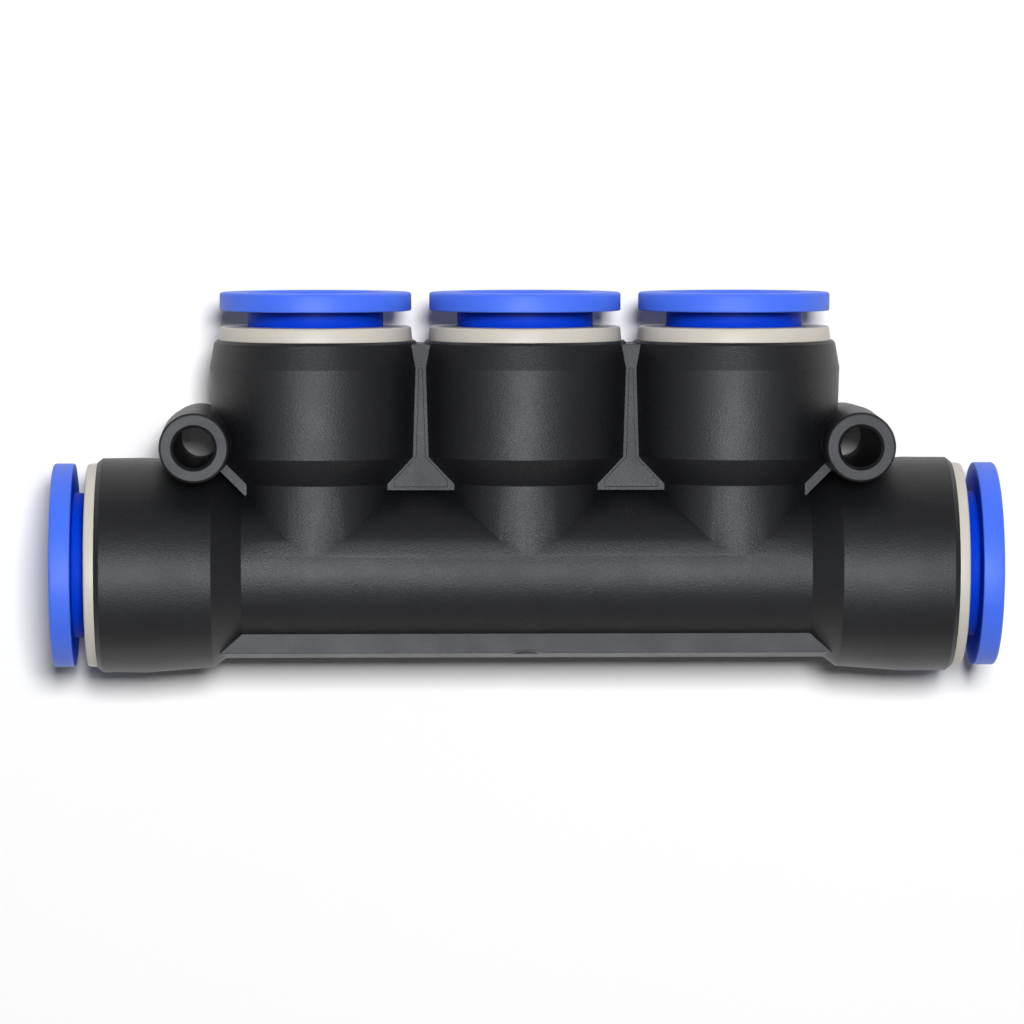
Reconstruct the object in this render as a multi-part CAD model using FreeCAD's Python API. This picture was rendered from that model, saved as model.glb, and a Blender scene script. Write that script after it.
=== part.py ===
import FreeCAD
import Part
import math
import os
from dataclasses import dataclass

# Five-port push-in manifold for 12 mm air tube, lying on the back ends of its two screw bosses.
# X runs along the run ports, Y points out of the branch ports and Z is up from the mounting surface.
# The origin is midway between the two screw holes, on that surface. All sizes are in millimetres.

Vector = FreeCAD.Vector

# Tube and the clearances around it
tube_diameter = 12.0
tube_seat_clearance = 0.1
sleeve_clearance = 0.3
flow_bore_radius = 5.0
branch_tube_stop = 7.5
run_tube_stop = 27.4

# Clearances inside each port
press_clearance = 0.05
collar_clearance = 0.2
lip_clearance = 0.25
shoulder_clearance = 0.05
claw_clearance = 0.12
claw_tip_clearance = 0.15
seal_lip_clearance = 0.15

# Placing of the ports, measured from the run's axis
branch_pitch = 21.1
branch_mouth = 22.7
run_mouth = 43.05

# Branch socket, outside: radii and where along the branch they lie
branch_face_radius = 10.0
branch_chamfer_radius = 10.24
branch_chamfer_height = 0.25
branch_waist_radius = 10.67
branch_waist = 20.0
branch_foot_radius = 10.41
branch_foot = 11.1
branch_stem_radius = 8.07
branch_stem = 8.4

# Run socket and run tube, outside
run_face_radius = 10.42
run_edge_radius = 10.8
run_edge_height = 0.5
run_belly_radius = 10.84
run_belly_length = 4.4
run_foot_radius = 10.35
run_foot = 31.45
run_tube_radius = 8.2
run_tube_end = 28.5

# Webs between the branch sockets, and the keel under the run tube
web_half_thickness = 3.67
web_top = 22.38
web_bottom = 7.74
web_panel_margin = 0.35
web_panel_depth = 0.03
keel_half_thickness = 4.88
keel_side_edge = 8.55
keel_bottom = 9.4
keel_flat = 0.6
gate_mark_width = 3.6
gate_mark_height = 0.32
gate_mark_depth = 0.9

# Screw bosses and the thin ribs that tie them to the branch stems
boss_spacing = 66.1
boss_height_on_run = 12.4
boss_length = 21.7
boss_radius = 3.47
boss_middle_radius = 3.68
boss_edge_chamfer = 0.2
screw_hole_radius = 2.0
screw_chamfer_radius = 2.3
rib_width = 0.95
rib_length = 7.15
rib_offset = 0.26
rib_half_height = 4.2

# Inner stack, from the mouth inwards
ring_insert_depth = 3.4
ring_shoulder_depth = 1.0
ring_edge_rounding = 0.25
claw_thickness = 0.3
claw_count = 10
claw_slot_width = 0.9
claw_drop = 1.4
claw_bend_over_neck = 0.76
claw_slot_root = 0.3
support_height = 1.9
seal_height = 2.8
seal_base_height = 1.1
seal_lip_thickness = 0.6
seal_lip_lean = 0.25
seal_groove_floor = 0.5

# Bores that follow the tube
tube_seat_radius = tube_diameter / 2 + tube_seat_clearance
sleeve_bore_radius = tube_diameter / 2 + sleeve_clearance

# Release collar, inside the port
collar_lip_height = 0.7
collar_lip_reach = 0.86
collar_nose_depth = 2.9
collar_nose_wall = 0.4
collar_mouth_flare = 0.8
collar_edge_rounding = 0.3
collar_slit_width = 1.1
collar_slit_count = 4
collar_slit_top = 0.4


@dataclass(frozen=True)
class Port:
    """Sizes that differ between the run ports and the branch ports. Each reach is measured from the neck."""

    neck_wall: float
    counterbore_reach: float
    flange_reach: float
    flange_standoff: float
    flange_height: float
    ring_reach: float
    ring_top_reach: float
    ring_exposed: float

    @property
    def neck_radius(self):
        """Outside of the collar's sleeve, which follows the tube."""
        return sleeve_bore_radius + self.neck_wall

    @property
    def counterbore_radius(self):
        return self.neck_radius + self.counterbore_reach

    @property
    def flange_radius(self):
        return self.neck_radius + self.flange_reach

    @property
    def ring_radius(self):
        return self.neck_radius + self.ring_reach

    @property
    def ring_top_radius(self):
        return self.neck_radius + self.ring_top_reach


branch_port = Port(
    neck_wall=0.54,
    counterbore_reach=2.11,
    flange_reach=2.81,
    flange_standoff=3.0,
    flange_height=1.85,
    ring_reach=2.9,
    ring_top_reach=2.78,
    ring_exposed=1.43,
)
run_port = Port(
    neck_wall=1.0,
    counterbore_reach=2.0,
    flange_reach=2.97,
    flange_standoff=2.35,
    flange_height=2.12,
    ring_reach=3.0,
    ring_top_reach=2.9,
    ring_exposed=1.05,
)

# How far a cutting shape reaches past the surface that it cuts
cut_margin = 1.0

# Worked out from the sizes above
run_axis_y = -boss_height_on_run
middle_z = boss_length / 2
claw_top = -ring_insert_depth
claw_bottom = claw_top - claw_thickness
support_bottom = claw_bottom - support_height
seal_bottom = support_bottom - seal_height


def revolved(outline):
    """Turn an outline of (radius, height) points about the Z axis into a solid."""
    points = [Vector(radius, 0, height) for radius, height in outline]
    face = Part.Face(Part.makePolygon(points + points[:1]))
    return face.revolve(Vector(0, 0, 0), Vector(0, 0, 1), 360)


def rounded_corner(corner, before, after, steps=2):
    """Return points of an arc that rounds a right-angled corner of an outline from one point to the next."""
    centre = (before[0] + after[0] - corner[0], before[1] + after[1] - corner[1])
    points = []
    for step in range(steps + 1):
        angle = math.radians(90 * step / steps)
        start = math.cos(angle)
        end = math.sin(angle)
        points.append(
            (
                centre[0] + (before[0] - centre[0]) * start + (after[0] - centre[0]) * end,
                centre[1] + (before[1] - centre[1]) * start + (after[1] - centre[1]) * end,
            )
        )
    return points


def slots(count, width, inner, outer, bottom, top):
    """Radial slots evenly spaced about the Z axis, as one shape to cut with."""
    cutters = []
    for index in range(count):
        cutter = Part.makeBox(outer - inner, width, top - bottom, Vector(inner, -width / 2, bottom))
        cutter.rotate(Vector(0, 0, 0), Vector(0, 0, 1), 360 * index / count)
        cutters.append(cutter)
    return Part.makeCompound(cutters)


def turned_cut(radius, bottom, top):
    """A plain cylinder about the Z axis between two heights."""
    return Part.makeCylinder(radius, top - bottom, Vector(0, 0, bottom))


def retaining_ring(port):
    """Beige ring pressed into the mouth: it traps the collar's lip and clamps the claw ring."""
    insert = port.counterbore_radius - press_clearance
    bore = port.neck_radius + collar_clearance
    pocket = port.neck_radius + collar_lip_reach + lip_clearance
    rounding = ring_edge_rounding
    top = port.ring_exposed
    corner = (port.ring_top_radius, top)
    outline = [(bore, top), (bore, -ring_shoulder_depth), (pocket, -ring_shoulder_depth)]
    outline += [(pocket, claw_top), (insert, claw_top), (insert, 0), (port.ring_radius, 0)]
    outline += rounded_corner(corner, (corner[0], top - rounding), (corner[0] - rounding, top))
    return revolved(outline)


def release_collar(port):
    """Blue collar: a flange to press, a sleeve around the tube, a snap lip and a nose for the claws."""
    bore = sleeve_bore_radius
    flange_bottom = port.flange_standoff
    flange_top = flange_bottom + port.flange_height
    lip_top = -ring_shoulder_depth - shoulder_clearance
    lip_bottom = lip_top - collar_lip_height
    lip_radius = port.neck_radius + collar_lip_reach
    rim = port.flange_radius
    rounding = collar_edge_rounding
    outline = [(bore, -collar_nose_depth), (bore + collar_nose_wall, -collar_nose_depth)]
    outline += [(port.neck_radius, lip_bottom), (lip_radius, lip_bottom), (lip_radius, lip_top)]
    outline += [(port.neck_radius, lip_top), (port.neck_radius, flange_bottom), (rim, flange_bottom)]
    outline += rounded_corner((rim, flange_top), (rim, flange_top - rounding), (rim - rounding, flange_top))
    outline += [(bore + collar_mouth_flare, flange_top), (bore, flange_top - collar_mouth_flare)]
    below = -collar_nose_depth - cut_margin
    beyond = lip_radius + cut_margin
    slits = slots(collar_slit_count, collar_slit_width, bore / 2, beyond, below, collar_slit_top)
    return revolved(outline).cut(slits)


def claw_ring(port):
    """Spring steel ring whose inclined fingers bite the tube: they lean inwards and away from the mouth."""
    tip_radius = tube_diameter / 2 + claw_tip_clearance
    bend_radius = port.neck_radius + claw_bend_over_neck
    rim_radius = port.counterbore_radius - press_clearance
    run = bend_radius - tip_radius
    length = math.hypot(run, claw_drop)
    across = (claw_drop / length * claw_thickness, -run / length * claw_thickness)
    tip = (tip_radius, claw_top - claw_drop)
    back_tip = (tip[0] + across[0], tip[1] + across[1])
    back_bend_radius = back_tip[0] + (claw_bottom - back_tip[1]) * run / claw_drop
    outline = [(rim_radius, claw_top), (bend_radius, claw_top), tip, back_tip]
    outline += [(back_bend_radius, claw_bottom), (rim_radius, claw_bottom)]
    root = bend_radius + claw_slot_root
    below = back_tip[1] - cut_margin
    gaps = slots(claw_count, claw_slot_width, tip_radius / 2, root, below, claw_top + cut_margin)
    return revolved(outline).cut(gaps)


def support_ring(port):
    """Plastic ring behind the claws, with a funnel face that follows the fingers."""
    tip_radius = tube_diameter / 2 + claw_tip_clearance
    bend_radius = port.neck_radius + claw_bend_over_neck
    slope = claw_drop / (bend_radius - tip_radius)
    behind = claw_thickness * math.hypot(1, slope) + claw_clearance
    outer = port.counterbore_radius - press_clearance
    bore = sleeve_bore_radius
    bore_height = claw_top - (bend_radius - bore) * slope - behind
    rim = bend_radius + (claw_top - claw_bottom - behind) / slope + (behind - claw_thickness) / slope * 2
    outline = [(rim, claw_bottom), (outer, claw_bottom), (outer, support_bottom)]
    outline += [(bore, support_bottom), (bore, bore_height)]
    return revolved(outline)


def seal_ring(port):
    """Rubber lip seal: two lips open away from the mouth, one on the tube and one on the wall."""
    outer = port.counterbore_radius - press_clearance
    inner = tube_diameter / 2 + seal_lip_clearance
    base_bottom = support_bottom - seal_base_height
    groove_middle = (outer + inner) / 2
    floor = seal_groove_floor / 2
    lip = seal_lip_thickness
    outline = [(inner + lip / 2, support_bottom), (outer, support_bottom), (outer, seal_bottom)]
    outline += [(outer - lip, seal_bottom), (groove_middle + floor, base_bottom)]
    outline += [(groove_middle - floor, base_bottom), (inner + lip, seal_bottom)]
    outline += [(inner, seal_bottom + lip / 2), (inner + seal_lip_lean, base_bottom)]
    return revolved(outline)


def branch_outside():
    """Outside of one branch, standing on the run's axis: a socket, its cone and the stem."""
    face = branch_mouth - branch_chamfer_height
    outline = [(0, 0), (branch_stem_radius, 0), (branch_stem_radius, branch_stem)]
    outline += [(branch_foot_radius, branch_foot), (branch_waist_radius, branch_waist)]
    outline += [(branch_chamfer_radius, face), (branch_face_radius, branch_mouth), (0, branch_mouth)]
    return revolved(outline)


def run_outside():
    """Outside of one run socket, measured from the middle of the run."""
    edge = run_mouth - run_edge_height
    outline = [(0, 0), (run_tube_radius, 0), (run_tube_radius, run_tube_end), (run_foot_radius, run_foot)]
    outline += [(run_belly_radius, edge - run_belly_length), (run_edge_radius, edge)]
    outline += [(run_face_radius, run_mouth), (0, run_mouth)]
    return revolved(outline)


def port_inside(port, mouth, stop):
    """Hollow of one port down to the tube's stop, and the flow bore from there to the middle."""
    counterbore = turned_cut(port.counterbore_radius, mouth + seal_bottom, mouth + cut_margin)
    seat = turned_cut(tube_seat_radius, stop, mouth)
    return counterbore.fuse([seat, turned_cut(flow_bore_radius, 0, mouth)])


def at_branch(shape, index):
    """Stand a shape that was made along Z on the run's axis as a branch, from -1 on the left to 1."""
    placed = shape.copy()
    placed.rotate(Vector(0, 0, 0), Vector(1, 0, 0), -90)
    placed.translate(Vector(index * branch_pitch, run_axis_y, middle_z))
    return placed


def at_run(shape, side):
    """Lay a shape that was made along Z on the run's axis, to the left for -1 and to the right for 1."""
    placed = shape.copy()
    placed.rotate(Vector(0, 0, 0), Vector(0, 1, 0), 90 * side)
    placed.translate(Vector(0, run_axis_y, middle_z))
    return placed


def block(low, high):
    """A box between two corners, given from the run's axis at mid height."""
    corner = Vector(low[0], low[1] + run_axis_y, low[2] + middle_z)
    return Part.makeBox(high[0] - low[0], high[1] - low[1], high[2] - low[2], corner)


def web_half_width(socket_radius):
    """Half the width of a web's face where the sockets beside it have this radius."""
    return branch_pitch / 2 - math.sqrt(socket_radius**2 - web_half_thickness**2)


def web_panel(side, face):
    """The shallow sunken panel on one face of one web, inside its edges: a bar that flares at its foot."""
    margin = web_panel_margin
    waist = web_half_width(branch_waist_radius) - margin
    foot = web_half_width(branch_foot_radius) - margin
    flare = web_half_width(branch_stem_radius) - 2 * margin
    half = [(waist, branch_waist), (foot, branch_foot)]
    half += [(flare, branch_stem + margin), (flare, web_bottom + margin)]
    outline = half + [(-x, y) for x, y in reversed(half)]
    middle = side * branch_pitch / 2
    floor = face * (web_half_thickness - web_panel_depth) + middle_z
    points = [Vector(middle + x, y + run_axis_y, floor) for x, y in outline]
    panel = Part.Face(Part.makePolygon(points + points[:1]))
    return panel.extrude(Vector(0, 0, face * cut_margin))


def keel():
    """The straight keel under the run tube, between the two run sockets."""
    half = [(0, 0), (keel_half_thickness, 0)]
    half += [(keel_half_thickness, -keel_side_edge), (keel_flat, -keel_bottom)]
    outline = half + [(-z, y) for z, y in reversed(half[1:])]
    points = [Vector(-run_foot, y + run_axis_y, z + middle_z) for z, y in outline]
    face = Part.Face(Part.makePolygon(points + points[:1]))
    return face.extrude(Vector(2 * run_foot, 0, 0))


def gate_mark(face):
    """The scar of the moulding gate: a shallow half-round scoop in one lower edge of the keel."""
    half_width = gate_mark_width / 2
    radius = (half_width**2 + gate_mark_height**2) / (2 * gate_mark_height)
    slope = gate_mark_height / gate_mark_depth
    inner = radius - gate_mark_height
    outer = radius + slope * cut_margin
    scoop = Part.makeCone(inner, outer, gate_mark_depth + cut_margin)
    if face < 0:
        scoop.rotate(Vector(0, 0, 0), Vector(1, 0, 0), 180)
    depth = keel_half_thickness - gate_mark_depth
    height = run_axis_y - keel_side_edge + gate_mark_height - radius
    scoop.translate(Vector(0, height, middle_z + face * depth))
    return scoop


def boss(side):
    """One screw boss, from the mounting surface up, swelling a little towards the parting plane."""
    edge = boss_edge_chamfer
    outline = [(0, 0), (boss_radius - edge, 0), (boss_radius, edge), (boss_middle_radius, middle_z)]
    outline += [(boss_radius, boss_length - edge), (boss_radius - edge, boss_length), (0, boss_length)]
    placed = revolved(outline)
    placed.translate(Vector(side * boss_spacing / 2, 0, 0))
    return placed


def boss_hole(side):
    """The screw hole through one boss, with its chamfer at the front."""
    chamfer = screw_chamfer_radius - screw_hole_radius
    above = boss_length + cut_margin
    outline = [(0, -cut_margin), (screw_hole_radius, -cut_margin), (screw_hole_radius, boss_length - chamfer)]
    outline += [(screw_chamfer_radius, boss_length), (screw_chamfer_radius, above), (0, above)]
    placed = revolved(outline)
    placed.translate(Vector(side * boss_spacing / 2, 0, 0))
    return placed


def boss_rib(side):
    """The thin rib that runs at 45 degrees from one boss down into the corner beside the branch stem."""
    start = -side * rib_offset - rib_width / 2
    corner = Vector(0, start, middle_z - rib_half_height)
    rib = Part.makeBox(rib_length, rib_width, 2 * rib_half_height, corner)
    rib.rotate(Vector(0, 0, 0), Vector(0, 0, 1), 225 if side > 0 else -45)
    rib.translate(Vector(side * boss_spacing / 2, 0, 0))
    return rib


def body():
    """The moulded body: run, branches, webs, keel, bosses and ribs in one piece."""
    solid = at_run(run_outside(), -1)
    outside = [at_run(run_outside(), 1), keel()]
    outside += [at_branch(branch_outside(), index) for index in (-1, 0, 1)]
    web_low = (-branch_pitch, web_bottom, -web_half_thickness)
    outside.append(block(web_low, (branch_pitch, web_top, web_half_thickness)))
    for side in (-1, 1):
        outside += [boss(side), boss_rib(side)]
    solid = solid.fuse(outside)
    run_inside = port_inside(run_port, run_mouth, run_tube_stop)
    branch_inside = port_inside(branch_port, branch_mouth, branch_tube_stop)
    inside = [at_run(run_inside, side) for side in (-1, 1)]
    inside += [at_branch(branch_inside, index) for index in (-1, 0, 1)]
    inside += [boss_hole(side) for side in (-1, 1)]
    inside += [web_panel(side, face) for side in (-1, 1) for face in (-1, 1)]
    inside += [gate_mark(face) for face in (-1, 1)]
    return solid.cut(inside)


def at_mouth(shape, mouth):
    """Move a port's piece, made with the mouth at height zero, out to its mouth."""
    placed = shape.copy()
    placed.translate(Vector(0, 0, mouth))
    return placed


def write(name, shape):
    """Write one piece to its file, as the one solid that it is."""
    shape.Solids[0].exportStep(f"parts/{name}.step")
    print(name, len(shape.Solids), shape.isValid(), round(shape.Volume, 2))


def main():
    os.makedirs("parts", exist_ok=True)
    write("body", body())
    pieces = {
        "release_collar": release_collar,
        "retaining_ring": retaining_ring,
        "claw_ring": claw_ring,
        "support_ring": support_ring,
        "seal_ring": seal_ring,
    }
    for kind, make in pieces.items():
        for side, where in ((-1, "run_left"), (1, "run_right")):
            write(f"{kind}_{where}", at_run(at_mouth(make(run_port), run_mouth), side))
        for index, where in ((-1, "branch_left"), (0, "branch_middle"), (1, "branch_right")):
            write(f"{kind}_{where}", at_branch(at_mouth(make(branch_port), branch_mouth), index))


main()
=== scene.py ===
"""Looks of the push-in air tube manifold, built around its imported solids."""

import logging
import math
from dataclasses import dataclass, field
from enum import Enum
from typing import Callable, Iterable, Optional, Sequence

import bmesh
import bpy
from mathutils import Euler, Matrix, Vector


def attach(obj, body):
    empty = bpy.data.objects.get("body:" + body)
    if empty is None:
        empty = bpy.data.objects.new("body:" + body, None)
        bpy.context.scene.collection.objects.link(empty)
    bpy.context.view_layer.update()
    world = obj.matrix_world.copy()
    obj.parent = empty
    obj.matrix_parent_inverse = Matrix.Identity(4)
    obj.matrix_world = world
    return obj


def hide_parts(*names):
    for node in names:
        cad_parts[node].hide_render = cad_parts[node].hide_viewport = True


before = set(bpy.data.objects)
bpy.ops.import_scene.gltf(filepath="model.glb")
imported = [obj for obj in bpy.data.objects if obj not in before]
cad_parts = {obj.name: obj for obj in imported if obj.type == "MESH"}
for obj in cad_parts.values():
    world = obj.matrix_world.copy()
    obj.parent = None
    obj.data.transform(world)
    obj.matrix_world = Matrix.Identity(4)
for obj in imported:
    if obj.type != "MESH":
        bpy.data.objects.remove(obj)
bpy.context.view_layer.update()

MM = 0.001

# Millimetres over the panel, across it from the screw holes, and from the run's axis to the waists
MIDDLE_Z = 10.85
RUN_AXIS_Y = -12.4
BRANCH_WAIST = 20.0

# Points closer than this are one, in metres: in a new mesh, in a copied solid, along a sliver
WELD = 1e-7
SKIN_WELD = 1e-6
SLIVER = 1e-8

# Rays that a bevel or an openness node casts, and the span that most of a noise texture's values fill
NODE_RAYS = 8
NOISE_LOW = 0.3
NOISE_HIGH = 0.7
# How far red, green and blue light scatter in a plastic, as shares of its scatter distance
SCATTER = (0.4, 0.6, 1.0)

log = logging.getLogger("manifold")


class Place(Enum):
    """The five ports, by the name that their pieces carry, with the way each one faces."""

    RUN_LEFT = "run_left"
    RUN_RIGHT = "run_right"
    BRANCH_LEFT = "branch_left"
    BRANCH_MIDDLE = "branch_middle"
    BRANCH_RIGHT = "branch_right"

    @property
    def on_run(self) -> bool:
        """Whether the port is at one end of the run."""
        return self in (Place.RUN_LEFT, Place.RUN_RIGHT)

    @property
    def index(self) -> int:
        """The port's place from left to right: -1, 0 or 1."""
        if self in (Place.RUN_LEFT, Place.BRANCH_LEFT):
            return -1
        return 0 if self is Place.BRANCH_MIDDLE else 1


def linear(code: str) -> tuple[float, float, float, float]:
    """Turn an sRGB hex code into a linear colour with full alpha.

    Args:
        code: six hex digits, as RRGGBB.

    Returns:
        The colour's linear red, green, blue and alpha.
    """
    values = [int(code[i : i + 2], 16) / 255 for i in (0, 2, 4)]
    parts = [v / 12.92 if v <= 0.04045 else ((v + 0.055) / 1.055) ** 2.4 for v in values]
    return (parts[0], parts[1], parts[2], 1.0)


def add_node(
    tree: bpy.types.NodeTree,
    kind: str,
    settings: Optional[dict] = None,
    links: Optional[dict] = None,
) -> bpy.types.Node:
    """Add a node with its settings and its links.

    Args:
        tree: the node tree that gets the node.
        kind: the node's type name.
        settings: values by property name, or by the name or number of an input.
        links: output sockets by the name or number of the input that each feeds.

    Returns:
        The new node.
    """
    node = tree.nodes.new(kind)
    for name, value in (settings or {}).items():
        if isinstance(name, str) and name not in node.inputs:
            setattr(node, name, value)
        else:
            node.inputs[name].default_value = value
    for name, socket in (links or {}).items():
        tree.links.new(socket, node.inputs[name])
    return node


def empty_material(name: str) -> bpy.types.Material:
    """Make a material with an empty node tree.

    Args:
        name: the material's name.

    Returns:
        The material.
    """
    material = bpy.data.materials.new(name)
    material.use_nodes = True
    material.node_tree.nodes.clear()
    return material


def per_metre(size_mm: float) -> float:
    """Scale of a pattern on object coordinates whose features are this many millimetres across."""
    return 1.0 / (size_mm * MM)


@dataclass(frozen=True)
class MouldedPlastic:
    """An injection-moulded plastic or rubber: colour, gloss and the texture that the mould leaves."""

    name: str
    colour: str
    cloud_colour: str
    roughness: float
    roughness_spread: float
    ior: float
    grain_mm: float
    grain_height_mm: float
    cloud_mm: float
    edge_radius_mm: float
    translucency: float = 0.0
    translucent_mm: float = 1.0
    # Painted shade: a deeper colour and weaker gloss in grooves, set by how enclosed each point is
    painted_shade_colour: str = ""
    painted_shade_reach_mm: float = 2.5
    painted_shade_openness: tuple[float, float] = (0.45, 0.9)
    painted_shade_gloss: tuple[float, float] = (0.03, 0.5)
    speck_colour: str = ""
    speck_mm: float = 0.2
    speck_noise: tuple[float, float] = (0.6, 0.78)
    parting_height_mm: Optional[float] = None
    parting_width_mm: float = 0.07
    parting_ridge_mm: float = 0.04

    def material(self) -> bpy.types.Material:
        """Build the plastic as a node material.

        Returns:
            The material.
        """
        material = empty_material(self.name)
        tree = material.node_tree
        place = add_node(tree, "ShaderNodeTexCoord").outputs["Object"]
        grain = add_node(
            tree,
            "ShaderNodeTexNoise",
            {"Scale": per_metre(self.grain_mm), "Detail": 3.0, "Roughness": 0.6},
            {"Vector": place},
        )
        cloud = add_node(
            tree,
            "ShaderNodeTexNoise",
            {"Scale": per_metre(self.cloud_mm), "Detail": 4.0, "Roughness": 0.55},
            {"Vector": place},
        )
        colour = add_node(
            tree,
            "ShaderNodeMix",
            {"data_type": "RGBA", 6: linear(self.colour), 7: linear(self.cloud_colour)},
            {0: cloud.outputs["Fac"]},
        ).outputs[2]
        if self.speck_colour:
            colour = self.with_specks(tree, place, colour)
        rough = add_node(
            tree,
            "ShaderNodeMapRange",
            {
                "From Min": NOISE_LOW,
                "From Max": NOISE_HIGH,
                "To Min": self.roughness - self.roughness_spread,
                "To Max": self.roughness + self.roughness_spread,
            },
            {"Value": cloud.outputs["Fac"]},
        )
        soft_edge = add_node(
            tree, "ShaderNodeBevel", {"samples": NODE_RAYS, "Radius": self.edge_radius_mm * MM}
        )
        normal = add_node(
            tree,
            "ShaderNodeBump",
            {"Strength": 1.0, "Distance": self.grain_height_mm * MM},
            {"Height": grain.outputs["Fac"], "Normal": soft_edge.outputs["Normal"]},
        ).outputs["Normal"]
        if self.parting_height_mm is not None:
            normal = self.with_parting_line(tree, place, normal)
        inputs = {"Base Color": colour, "Roughness": rough.outputs["Result"], "Normal": normal}
        # Painted shade: the colour deepens and the gloss weakens in grooves
        if self.painted_shade_colour:
            inputs["Base Color"], inputs["Specular IOR Level"] = self.with_painted_groove_shade(tree, colour)
        shader = add_node(
            tree,
            "ShaderNodeBsdfPrincipled",
            {
                "IOR": self.ior,
                "Subsurface Weight": self.translucency,
                "Subsurface Scale": self.translucent_mm * MM,
                "Subsurface Radius": SCATTER,
            },
            inputs,
        )
        add_node(tree, "ShaderNodeOutputMaterial", None, {"Surface": shader.outputs["BSDF"]})
        return material

    def with_painted_groove_shade(
        self, tree: bpy.types.NodeTree, colour: bpy.types.NodeSocket
    ) -> tuple[bpy.types.NodeSocket, bpy.types.NodeSocket]:
        """Paint shade into a plastic's grooves: a deeper colour and weaker gloss where the part is
        enclosed.

        Args:
            tree: the material's node tree.
            colour: the colour in the open.

        Returns:
            The colour with painted shade in its grooves, and the gloss, painted weaker there.
        """
        openness = add_node(
            tree,
            "ShaderNodeAmbientOcclusion",
            {"samples": NODE_RAYS, "Distance": self.painted_shade_reach_mm * MM},
        )
        mask = add_node(
            tree,
            "ShaderNodeMapRange",
            {"From Min": self.painted_shade_openness[0], "From Max": self.painted_shade_openness[1]},
            {"Value": openness.outputs["AO"]},
        )
        mixed = add_node(
            tree,
            "ShaderNodeMix",
            {"data_type": "RGBA", 6: linear(self.painted_shade_colour)},
            {0: mask.outputs["Result"], 7: colour},
        )
        gloss = add_node(
            tree,
            "ShaderNodeMapRange",
            {"To Min": self.painted_shade_gloss[0], "To Max": self.painted_shade_gloss[1]},
            {"Value": mask.outputs["Result"]},
        )
        return mixed.outputs[2], gloss.outputs["Result"]

    def with_specks(
        self, tree: bpy.types.NodeTree, place: bpy.types.NodeSocket, colour: bpy.types.NodeSocket
    ) -> bpy.types.NodeSocket:
        """Lay the pale specks of glass fibre ends over a colour.

        Args:
            tree: the material's node tree.
            place: the object coordinates.
            colour: the colour under the specks.

        Returns:
            The colour with the specks.
        """
        noise = add_node(
            tree,
            "ShaderNodeTexNoise",
            {"Scale": per_metre(self.speck_mm), "Detail": 1.0, "Roughness": 0.5},
            {"Vector": place},
        )
        mask = add_node(
            tree,
            "ShaderNodeMapRange",
            {"From Min": self.speck_noise[0], "From Max": self.speck_noise[1]},
            {"Value": noise.outputs["Fac"]},
        )
        mixed = add_node(
            tree,
            "ShaderNodeMix",
            {"data_type": "RGBA", 7: linear(self.speck_colour)},
            {0: mask.outputs["Result"], 6: colour},
        )
        return mixed.outputs[2]

    def with_parting_line(
        self, tree: bpy.types.NodeTree, place: bpy.types.NodeSocket, normal: bpy.types.NodeSocket
    ) -> bpy.types.NodeSocket:
        """Raise the fine line that the two mould halves leave where they meet.

        Args:
            tree: the material's node tree.
            place: the object coordinates.
            normal: the normal under the line.

        Returns:
            The normal with the line.
        """
        height = add_node(tree, "ShaderNodeSeparateXYZ", None, {"Vector": place}).outputs["Z"]
        off = add_node(
            tree, "ShaderNodeMath", {"operation": "SUBTRACT", 1: self.parting_height_mm * MM}, {0: height}
        )
        away = add_node(tree, "ShaderNodeMath", {"operation": "ABSOLUTE"}, {0: off.outputs["Value"]})
        ridge = add_node(
            tree,
            "ShaderNodeMapRange",
            {
                "interpolation_type": "SMOOTHSTEP",
                "From Min": 0.0,
                "From Max": self.parting_width_mm * MM,
                "To Min": 1.0,
                "To Max": 0.0,
            },
            {"Value": away.outputs["Value"]},
        )
        bump = add_node(
            tree,
            "ShaderNodeBump",
            {"Strength": 1.0, "Distance": self.parting_ridge_mm * MM},
            {"Height": ridge.outputs["Result"], "Normal": normal},
        )
        return bump.outputs["Normal"]


@dataclass(frozen=True)
class StampedSteel:
    """Cold-rolled spring steel: fine rolling lines and a dull shine."""

    name: str
    colour: str
    roughness: float
    roughness_spread: float
    line_mm: float
    line_height_mm: float
    line_stretch: float

    def material(self) -> bpy.types.Material:
        """Build the steel as a node material.

        Returns:
            The material.
        """
        material = empty_material(self.name)
        tree = material.node_tree
        place = add_node(tree, "ShaderNodeTexCoord").outputs["Object"]
        stretched = add_node(
            tree, "ShaderNodeMapping", {"Scale": (1.0 / self.line_stretch, 1.0, 1.0)}, {"Vector": place}
        )
        lines = add_node(
            tree,
            "ShaderNodeTexNoise",
            {"Scale": per_metre(self.line_mm), "Detail": 2.0},
            {"Vector": stretched.outputs["Vector"]},
        )
        rough = add_node(
            tree,
            "ShaderNodeMapRange",
            {
                "To Min": self.roughness - self.roughness_spread,
                "To Max": self.roughness + self.roughness_spread,
            },
            {"Value": lines.outputs["Fac"]},
        )
        bump = add_node(
            tree,
            "ShaderNodeBump",
            {"Strength": 1.0, "Distance": self.line_height_mm * MM},
            {"Height": lines.outputs["Fac"]},
        )
        shader = add_node(
            tree,
            "ShaderNodeBsdfPrincipled",
            {"Base Color": linear(self.colour), "Metallic": 1.0},
            {"Roughness": rough.outputs["Result"], "Normal": bump.outputs["Normal"]},
        )
        add_node(tree, "ShaderNodeOutputMaterial", None, {"Surface": shader.outputs["BSDF"]})
        return material


# Glass-filled PBT out of a spark-eroded mould: near black, with a fine dull grain and pale fibre ends
BODY_PBT = MouldedPlastic(
    name="black_glass_filled_pbt",
    colour="0B0C0E",
    cloud_colour="0E0F12",
    roughness=0.46,
    roughness_spread=0.03,
    ior=1.5,
    grain_mm=0.2,
    grain_height_mm=0.03,
    cloud_mm=5.0,
    edge_radius_mm=0.1,
    speck_colour="1D1E21",
    speck_mm=0.18,
    parting_height_mm=MIDDLE_Z,
)
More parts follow.
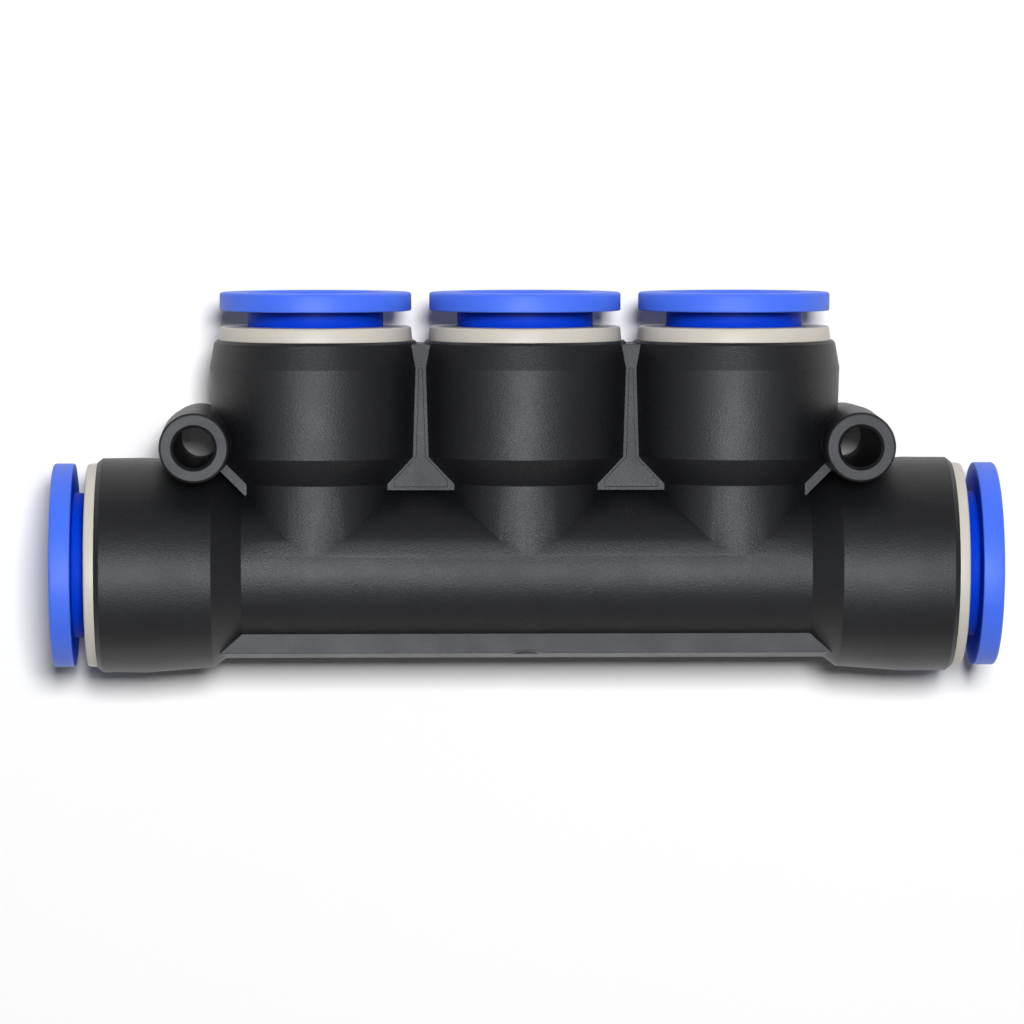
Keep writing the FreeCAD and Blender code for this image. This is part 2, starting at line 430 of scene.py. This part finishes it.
# Acetal, coloured through and slightly milky; its open faces stay pale and its grooves get painted shade, a
# deeper blue with weaker gloss
COLLAR_ACETAL = MouldedPlastic(
    name="blue_acetal",
    colour="4470F0",
    cloud_colour="4873F1",
    painted_shade_colour="0038C4",
    roughness=0.5,
    roughness_spread=0.03,
    ior=1.48,
    grain_mm=0.3,
    grain_height_mm=0.003,
    cloud_mm=6.0,
    edge_radius_mm=0.06,
    translucency=0.25,
    translucent_mm=0.8,
)
# Unfilled PBT in its own warm off-white, with the soft gloss of a polished mould
RING_PBT = MouldedPlastic(
    name="beige_pbt",
    colour="C8C3B8",
    cloud_colour="CDC8BE",
    roughness=0.42,
    roughness_spread=0.03,
    ior=1.5,
    grain_mm=0.4,
    grain_height_mm=0.003,
    cloud_mm=4.0,
    edge_radius_mm=0.06,
    translucency=0.08,
    translucent_mm=0.5,
)
# The same off-white resin inside the port, where nothing polishes it
SUPPORT_PBT = MouldedPlastic(
    name="natural_pbt",
    colour="DAD7CF",
    cloud_colour="DEDBD4",
    roughness=0.5,
    roughness_spread=0.04,
    ior=1.5,
    grain_mm=0.4,
    grain_height_mm=0.004,
    cloud_mm=4.0,
    edge_radius_mm=0.05,
)
# Nitrile rubber, pressed in a matt tool: black and nearly without shine
SEAL_NITRILE = MouldedPlastic(
    name="black_nitrile_rubber",
    colour="17181A",
    cloud_colour="1C1D1F",
    roughness=0.62,
    roughness_spread=0.04,
    ior=1.52,
    grain_mm=0.25,
    grain_height_mm=0.006,
    cloud_mm=3.0,
    edge_radius_mm=0.05,
)
# Bright spring strip, whose rolling lines are many times longer than they are wide
CLAW_STEEL = StampedSteel(
    name="cold_rolled_spring_steel",
    colour="B9BABC",
    roughness=0.32,
    roughness_spread=0.08,
    line_mm=0.08,
    line_height_mm=0.002,
    line_stretch=12.5,
)


@dataclass(frozen=True)
class Corner:
    """One corner of a turned outline: its radius and height in millimetres, and how far it is rounded."""

    radius: float
    height: float
    rounding: float = 0.0


def rounded_outline(corners: Sequence[Corner], steps: int = 4) -> list[Vector]:
    """Follow a closed outline and round its corners with arcs.

    Args:
        corners: the outline's corners in order.
        steps: how many spans each arc has.

    Returns:
        The outline's points as (radius, height) vectors in metres.
    """
    points: list[Vector] = []
    for number, corner in enumerate(corners):
        here = Vector((corner.radius, corner.height)) * MM
        if not corner.rounding:
            points.append(here)
            continue
        before, after = corners[number - 1], corners[(number + 1) % len(corners)]
        to_before = (Vector((before.radius, before.height)) * MM - here).normalized()
        to_after = (Vector((after.radius, after.height)) * MM - here).normalized()
        half = to_before.angle(to_after) / 2
        rounding = corner.rounding * MM
        centre = here + (to_before + to_after).normalized() * rounding / math.sin(half)
        start = (here + to_before * rounding / math.tan(half) - centre).normalized()
        end = (here + to_after * rounding / math.tan(half) - centre).normalized()
        points += [centre + start.slerp(end, step / steps) * rounding for step in range(steps + 1)]
    return points


def spin_outline(
    mesh: bmesh.types.BMesh,
    outline: Iterable[Vector],
    start: float = 0.0,
    sweep: float = 360.0,
    steps: int = 96,
) -> None:
    """Turn a closed outline about the Z axis, all the way round or as a capped sector.

    Args:
        mesh: the bmesh that gets the shape.
        outline: points as (radius, height) vectors in metres.
        start: the angle where the turn starts, in degrees.
        sweep: how far it turns, in degrees.
        steps: how many spans the turn has.
    """
    corners = [mesh.verts.new((point.x, 0.0, point.y)) for point in outline]
    edges = [mesh.edges.new((corner, corners[i - 1])) for i, corner in enumerate(corners)]
    whole = sweep >= 360.0
    caps = [] if whole else [mesh.faces.new(corners)]
    turn = Matrix.Rotation(math.radians(start), 3, "Z")
    bmesh.ops.rotate(mesh, verts=corners, cent=(0, 0, 0), matrix=turn)
    bmesh.ops.spin(
        mesh,
        geom=corners + edges + caps,
        cent=(0, 0, 0),
        axis=(0, 0, 1),
        angle=math.radians(sweep),
        steps=steps,
        use_merge=whole,
        use_duplicate=False,
    )


def finish_mesh(
    mesh: bmesh.types.BMesh,
    name: str,
    sharp_degrees: float,
    creased: Callable[[bmesh.types.BMEdge], bool] = lambda edge: False,
) -> bpy.types.Object:
    """Close a bmesh, smooth its faces and link it as an object at the origin.

    Args:
        mesh: the shape, already in its place.
        name: the piece's name.
        sharp_degrees: edges that turn more than this stay sharp.
        creased: tells of an edge that stays sharp although it turns less.

    Returns:
        The new object.
    """
    bmesh.ops.remove_doubles(mesh, verts=mesh.verts, dist=WELD)
    bmesh.ops.dissolve_degenerate(mesh, edges=mesh.edges, dist=SLIVER)
    bmesh.ops.recalc_face_normals(mesh, faces=mesh.faces)
    for face in mesh.faces:
        face.smooth = True
    for edge in mesh.edges:
        edge.smooth = edge.calc_face_angle(0.0) < math.radians(sharp_degrees) and not creased(edge)
    data = bpy.data.meshes.new(name)
    mesh.to_mesh(data)
    mesh.free()
    if "custom_normal" in data.attributes:
        data.attributes.remove(data.attributes["custom_normal"])
    piece = bpy.data.objects.new(name, data)
    bpy.context.scene.collection.objects.link(piece)
    log.info("built %s with %d faces", name, len(data.polygons))
    return piece


def dress(piece: bpy.types.Object, material: bpy.types.Material, body: str, node: str) -> None:
    """Give a piece its finish and the body that it rides on, and hide the solid that it stands for.

    Args:
        piece: the finished piece.
        material: its material.
        body: the body that carries it.
        node: the solid that it replaces.
    """
    piece.data.materials.clear()
    piece.data.materials.append(material)
    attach(piece, body)
    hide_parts(node)


def smooth_copy(
    node: str,
    name: str,
    sharp_degrees: float,
    creased: Callable[[bmesh.types.BMEdge], bool] = lambda edge: False,
) -> bpy.types.Object:
    """Copy a solid as one joined skin with smooth curved faces.

    Args:
        node: the solid's name.
        name: the copy's name.
        sharp_degrees: edges that turn more than this stay sharp.
        creased: tells of an edge that stays sharp although it turns less.

    Returns:
        The copy.
    """
    mesh = bmesh.new()
    mesh.from_mesh(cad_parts[node].data)
    bmesh.ops.remove_doubles(mesh, verts=mesh.verts, dist=SKIN_WELD)
    piece = finish_mesh(mesh, name, sharp_degrees, creased)
    weighted = piece.modifiers.new("even_normals", "WEIGHTED_NORMAL")
    weighted.keep_sharp = True
    weighted.mode = "FACE_AREA_WITH_ANGLE"
    return piece


@dataclass
class MouldedBody:
    """The black body: run, branches, webs, keel and bosses in one moulding."""

    sharp_degrees: float = 24.0
    waist_degrees: float = 6.0
    waist_tolerance_mm: float = 0.002
    finish: MouldedPlastic = BODY_PBT
    piece: Optional[bpy.types.Object] = None

    def on_waist(self, edge: bmesh.types.BMEdge) -> bool:
        """Whether an edge lies on the line around a branch socket where it stops widening.

        Args:
            edge: an edge of the body.

        Returns:
            True on that line.
        """
        turns = edge.calc_face_angle(0.0) > math.radians(self.waist_degrees)
        waist = (RUN_AXIS_Y + BRANCH_WAIST) * MM
        tolerance = self.waist_tolerance_mm * MM
        return turns and all(abs(corner.co.y - waist) < tolerance for corner in edge.verts)

    def build(self) -> None:
        """Make the body's skin from its solid."""
        self.piece = smooth_copy("body", "moulded_body", self.sharp_degrees, self.on_waist)

    def dress(self) -> None:
        """Give the body its moulded finish."""
        dress(self.piece, self.finish.material(), "manifold", "body")


@dataclass(frozen=True)
class PortSizes:
    """Sizes of one kind of port, in millimetres; heights are from the body's mouth."""

    neck_radius: float
    flange_radius: float
    flange_standoff: float
    flange_height: float
    ring_radius: float
    ring_top_radius: float
    ring_exposed: float
    counterbore_radius: float


RUN_SIZES = PortSizes(
    neck_radius=7.3,
    flange_radius=10.27,
    flange_standoff=2.35,
    flange_height=2.12,
    ring_radius=10.3,
    ring_top_radius=10.2,
    ring_exposed=1.05,
    counterbore_radius=9.3,
)
BRANCH_SIZES = PortSizes(
    neck_radius=6.84,
    flange_radius=9.65,
    flange_standoff=3.0,
    flange_height=1.85,
    ring_radius=9.74,
    ring_top_radius=9.62,
    ring_exposed=1.43,
    counterbore_radius=8.95,
)


@dataclass(frozen=True)
class ReleaseCollar:
    """What all the release collars share, in millimetres; heights are from the body's mouth."""

    bore: float = 6.3
    mouth_flare: float = 0.8
    lip_top: float = -1.05
    lip_height: float = 0.7
    lip_reach: float = 0.86
    nose_depth: float = 2.9
    nose_wall: float = 0.4
    slit_width: float = 1.1
    slit_top: float = 0.4
    slit_count: int = 4
    neck_fillet: float = 0.12
    flange_back_round: float = 0.14
    flange_front_round: float = 0.28
    mouth_round: float = 0.2
    flare_round: float = 0.3
    nose_inner_round: float = 0.05
    nose_outer_round: float = 0.1
    lip_back_round: float = 0.12
    lip_front_round: float = 0.06
    tongue_spans: int = 20
    tongue_corner_spans: int = 3

    def head(self, sizes: PortSizes) -> list[Corner]:
        """Outline the flange and the sleeve down to the slits.

        Args:
            sizes: the port's own sizes.

        Returns:
            The outline's corners.
        """
        bottom = sizes.flange_standoff
        top = bottom + sizes.flange_height
        return [
            Corner(self.bore, self.slit_top),
            Corner(sizes.neck_radius, self.slit_top),
            Corner(sizes.neck_radius, bottom, self.neck_fillet),
            Corner(sizes.flange_radius, bottom, self.flange_back_round),
            Corner(sizes.flange_radius, top, self.flange_front_round),
            Corner(self.bore + self.mouth_flare, top, self.mouth_round),
            Corner(self.bore, top - self.mouth_flare, self.flare_round),
        ]

    def tongue(self, sizes: PortSizes) -> list[Corner]:
        """Outline a tongue of the slit sleeve, with its snap lip and nose.

        Args:
            sizes: the port's own sizes.

        Returns:
            The outline's corners.
        """
        lip_bottom = self.lip_top - self.lip_height
        lip_radius = sizes.neck_radius + self.lip_reach
        return [
            Corner(self.bore, -self.nose_depth, self.nose_inner_round),
            Corner(self.bore + self.nose_wall, -self.nose_depth, self.nose_outer_round),
            Corner(sizes.neck_radius, lip_bottom, self.nose_outer_round),
            Corner(lip_radius, lip_bottom, self.lip_back_round),
            Corner(lip_radius, self.lip_top, self.lip_front_round),
            Corner(sizes.neck_radius, self.lip_top),
            Corner(sizes.neck_radius, self.slit_top),
            Corner(self.bore, self.slit_top),
        ]

    def mesh(self, sizes: PortSizes) -> bmesh.types.BMesh:
        """Turn the head all the way round, and a tongue between each two slits.

        Args:
            sizes: the port's own sizes.

        Returns:
            The collar, about the Z axis.
        """
        mesh = bmesh.new()
        spin_outline(mesh, rounded_outline(self.head(sizes)))
        tongue = rounded_outline(self.tongue(sizes), self.tongue_corner_spans)
        share = 360.0 / self.slit_count
        half_slit = math.degrees(math.asin(self.slit_width / 2 / self.bore))
        for number in range(self.slit_count):
            start = number * share + half_slit
            spin_outline(mesh, tongue, start, share - 2 * half_slit, self.tongue_spans)
        return mesh


@dataclass(frozen=True)
class RetainingRing:
    """What all the retaining rings share, in millimetres; depths are from the body's mouth."""

    shoulder_depth: float = 1.0
    insert_depth: float = 3.4
    collar_clearance: float = 0.2
    pocket_clearance: float = 1.11
    press_clearance: float = 0.05
    rim_inner_round: float = 0.2
    rim_outer_round: float = 0.24
    shoulder_round: float = 0.05
    pocket_round: float = 0.08
    pocket_mouth_round: float = 0.1
    insert_round: float = 0.2
    seat_round: float = 0.04

    def mesh(self, sizes: PortSizes) -> bmesh.types.BMesh:
        """Turn the ring: its rounded rim, the collar's bore and the pocket for the lip.

        Args:
            sizes: the port's own sizes.

        Returns:
            The ring, about the Z axis.
        """
        bore = sizes.neck_radius + self.collar_clearance
        pocket = sizes.neck_radius + self.pocket_clearance
        insert = sizes.counterbore_radius - self.press_clearance
        outline = [
            Corner(bore, sizes.ring_exposed, self.rim_inner_round),
            Corner(bore, -self.shoulder_depth, self.shoulder_round),
            Corner(pocket, -self.shoulder_depth, self.pocket_round),
            Corner(pocket, -self.insert_depth, self.pocket_mouth_round),
            Corner(insert, -self.insert_depth, self.insert_round),
            Corner(insert, 0.0),
            Corner(sizes.ring_radius, 0.0, self.seat_round),
            Corner(sizes.ring_top_radius, sizes.ring_exposed, self.rim_outer_round),
        ]
        mesh = bmesh.new()
        spin_outline(mesh, rounded_outline(outline))
        return mesh


@dataclass
class PushInPort:
    """One port: its release collar, retaining ring, claws, support and seal."""

    place: Place
    finishes: dict[str, bpy.types.Material]
    branch_pitch: float = 21.1
    branch_mouth: float = 22.7
    run_mouth: float = 43.05
    collar: ReleaseCollar = ReleaseCollar()
    ring: RetainingRing = RetainingRing()
    sharp_degrees: float = 34.0
    pieces: dict[str, bpy.types.Object] = field(default_factory=dict)

    @property
    def sizes(self) -> PortSizes:
        """The sizes of this kind of port."""
        return RUN_SIZES if self.place.on_run else BRANCH_SIZES

    def placing(self) -> Matrix:
        """Where the port's mouth is, with the port's own Z pointing out of it."""
        side = self.place.index
        if self.place.on_run:
            spot = Vector((side * self.run_mouth, RUN_AXIS_Y, MIDDLE_Z))
            return Matrix.Translation(spot * MM) @ Matrix.Rotation(math.radians(90 * side), 4, "Y")
        spot = Vector((side * self.branch_pitch, RUN_AXIS_Y + self.branch_mouth, MIDDLE_Z))
        return Matrix.Translation(spot * MM) @ Matrix.Rotation(math.radians(-90), 4, "X")

    def finished(self, mesh: bmesh.types.BMesh, kind: str) -> bpy.types.Object:
        """Put a piece that was turned about the Z axis in its place.

        Args:
            mesh: the piece, with the mouth at height zero.
            kind: the first part of the piece's name.

        Returns:
            The piece as an object.
        """
        bmesh.ops.transform(mesh, matrix=self.placing(), verts=mesh.verts)
        return finish_mesh(mesh, f"{kind}.{self.place.value}", self.sharp_degrees)

    def build(self) -> None:
        """Make the port's five pieces."""
        self.pieces["release_collar"] = self.finished(self.collar.mesh(self.sizes), "collar")
        self.pieces["retaining_ring"] = self.finished(self.ring.mesh(self.sizes), "ring")
        for kind in ("claw_ring", "support_ring", "seal_ring"):
            node = f"{kind}_{self.place.value}"
            self.pieces[kind] = smooth_copy(node, f"{kind}.{self.place.value}", self.sharp_degrees)

    def dress(self) -> None:
        """Give each piece its finish and its body."""
        for kind, piece in self.pieces.items():
            body = f"collar_{self.place.value}" if kind == "release_collar" else "manifold"
            dress(piece, self.finishes[kind], body, f"{kind}_{self.place.value}")


def facing(way: Vector) -> Euler:
    """Turn a lamp or camera so that it looks against a direction, with its top towards the branches.

    Args:
        way: the direction from what it looks at to itself.

    Returns:
        Its rotation.
    """
    back = way.normalized()
    right = Vector((0.0, 1.0, 0.0)).cross(back).normalized()
    return Matrix((right, back.cross(right), back)).transposed().to_euler()


@dataclass
class Softbox:
    """A rectangular area lamp, placed by the way its light comes from.

    It leans from straight above by degrees towards X and Y. Its sizes are in metres.
    """

    name: str
    lean_x: float
    lean_y: float
    distance: float
    width: float
    depth: float
    radiance: float
    tint: str = "FFFFFF"
    in_gloss: bool = True
    in_diffuse: bool = True

    def build(self, target: Vector) -> None:
        """Hang the lamp so that it faces the object.

        Args:
            target: the point that it faces, in metres.
        """
        across = math.tan(math.radians(self.lean_x))
        along = math.tan(math.radians(self.lean_y))
        way = Vector((across, along, 1.0)).normalized()
        lamp = bpy.data.lights.new(self.name, "AREA")
        lamp.shape = "RECTANGLE"
        lamp.size = self.width
        lamp.size_y = self.depth
        lamp.color = linear(self.tint)[:3]
        lamp.energy = self.radiance * math.pi * self.width * self.depth
        holder = bpy.data.objects.new(self.name, lamp)
        holder.location = target + way * self.distance
        holder.rotation_euler = facing(way)
        holder.visible_glossy = self.in_gloss
        holder.visible_diffuse = self.in_diffuse
        bpy.context.scene.collection.objects.link(holder)


@dataclass
class Studio:
    """White floor, soft lamps and the camera over the lying part, in metres where no name says mm.

    The front lamps only show as gloss on the part, and the top lamp only lights it and casts its shadow.
    """

    camera_spot: Vector = field(default_factory=lambda: Vector((-14.9, 27.4, 515.85)) * MM)
    camera_target: Vector = field(default_factory=lambda: Vector((-1.3, -7.1, 10.85)) * MM)
    lens_mm: float = 176.0
    sensor_mm: float = 36.0
    clip_start: float = 0.01
    floor_side: float = 4.0
    floor_drop_mm: float = 0.02
    floor_albedo: str = "F8F8F8"
    floor_glow: float = 0.01
    glow_from: float = 0.12
    glow_full: float = 0.7
    world_fill: float = 0.07
    world_gloss: float = 0.32
    softboxes: tuple[Softbox, ...] = (
        Softbox(
            name="front_softbox",
            lean_x=-3.0,
            lean_y=-5.0,
            distance=0.8,
            width=0.36,
            depth=0.34,
            radiance=11.3,
            tint="F5F8FF",
            in_diffuse=False,
        ),
        Softbox(
            name="wide_panel",
            lean_x=-4.0,
            lean_y=-6.0,
            distance=0.9,
            width=2.2,
            depth=0.5,
            radiance=0.5,
            tint="F5F8FF",
            in_diffuse=False,
        ),
        Softbox(
            name="top_softbox",
            lean_x=4.0,
            lean_y=12.5,
            distance=0.8,
            width=0.16,
            depth=0.16,
            radiance=85.0,
            in_gloss=False,
        ),
    )

    def build(self) -> None:
        """Set up the floor, the lamps, the world and the camera."""
        self.build_floor()
        self.build_world()
        for softbox in self.softboxes:
            softbox.build(Vector((0.0, self.camera_target.y, self.camera_target.z)))
        self.build_camera()
        bpy.context.scene.view_settings.view_transform = "Standard"

    def build_floor(self) -> None:
        """Lay the floor, which keeps the part's shadow and turns into a white glow further away."""
        mesh = bmesh.new()
        bmesh.ops.create_grid(mesh, x_segments=1, y_segments=1, size=self.floor_side / 2)
        bmesh.ops.translate(mesh, verts=mesh.verts, vec=(0, 0, -self.floor_drop_mm * MM))
        floor = finish_mesh(mesh, "floor", sharp_degrees=30.0)
        material = empty_material("white_sheet")
        tree = material.node_tree
        place = add_node(tree, "ShaderNodeTexCoord")
        away = add_node(
            tree, "ShaderNodeVectorMath", {"operation": "LENGTH"}, {0: place.outputs["Object"]}
        )
        rise = add_node(
            tree,
            "ShaderNodeMapRange",
            {
                "From Min": self.glow_from,
                "From Max": self.glow_full,
                "To Min": self.floor_glow,
                "To Max": 1.0,
            },
            {"Value": away.outputs["Value"]},
        )
        glow = add_node(
            tree,
            "ShaderNodeMath",
            {"operation": "MULTIPLY"},
            {0: rise.outputs["Result"], 1: self.seen_directly(tree)},
        )
        paper = add_node(tree, "ShaderNodeBsdfDiffuse", {"Color": linear(self.floor_albedo)})
        light = add_node(
            tree, "ShaderNodeEmission", {"Color": (1, 1, 1, 1)}, {"Strength": glow.outputs["Value"]}
        )
        both = add_node(
            tree, "ShaderNodeAddShader", None, {0: paper.outputs["BSDF"], 1: light.outputs["Emission"]}
        )
        add_node(tree, "ShaderNodeOutputMaterial", None, {"Surface": both.outputs["Shader"]})
        floor.data.materials.append(material)

    @staticmethod
    def seen_directly(tree: bpy.types.NodeTree) -> bpy.types.NodeSocket:
        """One where the camera sees a surface itself, in a reflection or through glass, and else zero.

        Args:
            tree: the node tree that asks.

        Returns:
            The socket that holds it.
        """
        path = add_node(tree, "ShaderNodeLightPath")
        first = add_node(
            tree,
            "ShaderNodeMath",
            {"operation": "MAXIMUM"},
            {0: path.outputs["Is Camera Ray"], 1: path.outputs["Is Glossy Ray"]},
        )
        second = add_node(
            tree,
            "ShaderNodeMath",
            {"operation": "MAXIMUM"},
            {0: first.outputs["Value"], 1: path.outputs["Is Transmission Ray"]},
        )
        return second.outputs["Value"]

    def build_world(self) -> None:
        """Fill the room with an even light: weak on surfaces, stronger in gloss and white to the camera."""
        world = bpy.data.worlds.new("studio")
        bpy.context.scene.world = world
        world.use_nodes = True
        tree = world.node_tree
        tree.nodes.clear()
        path = add_node(tree, "ShaderNodeLightPath")
        gloss = add_node(
            tree,
            "ShaderNodeMapRange",
            {"To Min": self.world_fill, "To Max": self.world_gloss},
            {"Value": path.outputs["Is Glossy Ray"]},
        )
        strength = add_node(
            tree,
            "ShaderNodeMath",
            {"operation": "MAXIMUM"},
            {0: path.outputs["Is Camera Ray"], 1: gloss.outputs["Result"]},
        )
        background = add_node(
            tree, "ShaderNodeBackground", {"Color": (1, 1, 1, 1)}, {"Strength": strength.outputs["Value"]}
        )
        add_node(tree, "ShaderNodeOutputWorld", None, {"Surface": background.outputs["Background"]})

    def build_camera(self) -> None:
        """Hang the camera over the part, upright along the branches."""
        camera = bpy.data.cameras.new("camera")
        camera.lens = self.lens_mm
        camera.sensor_width = self.sensor_mm
        camera.sensor_height = self.sensor_mm
        camera.clip_start = self.clip_start
        holder = bpy.data.objects.new("camera", camera)
        holder.location = self.camera_spot
        holder.rotation_euler = facing(self.camera_spot - self.camera_target)
        bpy.context.scene.collection.objects.link(holder)
        bpy.context.scene.camera = holder


def main() -> None:
    """Build and dress the part, then set up the studio around it."""
    logging.basicConfig(level=logging.INFO, format="%(message)s")
    Studio().build()
    body = MouldedBody()
    body.build()
    body.dress()
    finishes = {
        "release_collar": COLLAR_ACETAL.material(),
        "retaining_ring": RING_PBT.material(),
        "claw_ring": CLAW_STEEL.material(),
        "support_ring": SUPPORT_PBT.material(),
        "seal_ring": SEAL_NITRILE.material(),
    }
    for place in Place:
        port = PushInPort(place, finishes)
        port.build()
        port.dress()
        log.info("dressed %s", place.value)


if __name__ == "__main__":
    main()
